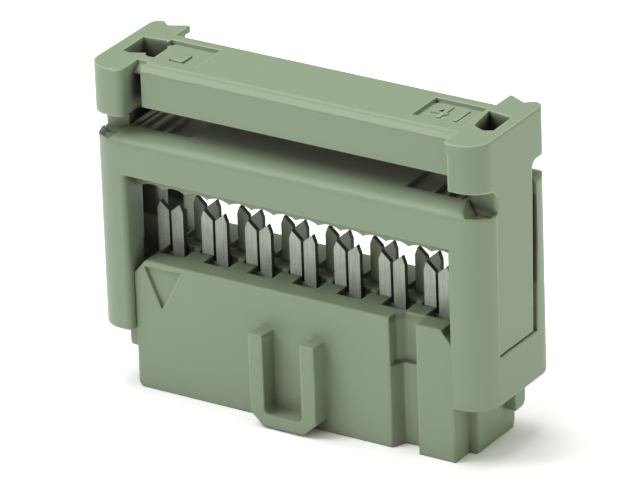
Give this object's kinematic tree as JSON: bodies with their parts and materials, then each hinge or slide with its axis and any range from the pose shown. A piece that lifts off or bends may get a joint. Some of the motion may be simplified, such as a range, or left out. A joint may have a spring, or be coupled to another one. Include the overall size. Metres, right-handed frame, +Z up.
{
  "type": "ribbon cable socket connector",
  "caption": "Two-row ribbon cable socket with a keyed base housing, slotted cutting contacts, a press-down cable cover standing raised, and a strain relief clip.",
  "frame": {"origin": "middle of the contact field, on the mating face", "axes": "+X along the contact rows, -Y towards the keyed front, +Z up from the mating face to the strain relief clip"},
  "size_m": [0.0222, 0.0073, 0.017],
  "materials": {
    "base_plastic": "grey-green moulded polyester, fine satin",
    "cover_plastic": "grey-green moulded polyester, fine satin",
    "clip_plastic": "grey-green moulded polyester, fine satin",
    "contact_metal": "copper alloy strip with dull tin plating"
  },
  "bodies": {
    "base": {"base_housing": "base_plastic", "contact_01": "contact_metal", "contact_02": "contact_metal", "contact_03": "contact_metal", "contact_04": "contact_metal", "contact_05": "contact_metal", "contact_06": "contact_metal", "contact_07": "contact_metal", "contact_08": "contact_metal", "contact_09": "contact_metal", "contact_10": "contact_metal", "contact_11": "contact_metal", "contact_12": "contact_metal", "contact_13": "contact_metal", "contact_14": "contact_metal"},
    "cover": {"cable_cover": "cover_plastic", "strain_relief_clip": "clip_plastic"}
  },
  "joints": [
    {"name": "cover_press", "type": "slide", "parent": "base", "child": "cover", "axis": [0, 0, 1], "range_m": [-0.0031, 0]}
  ]
}
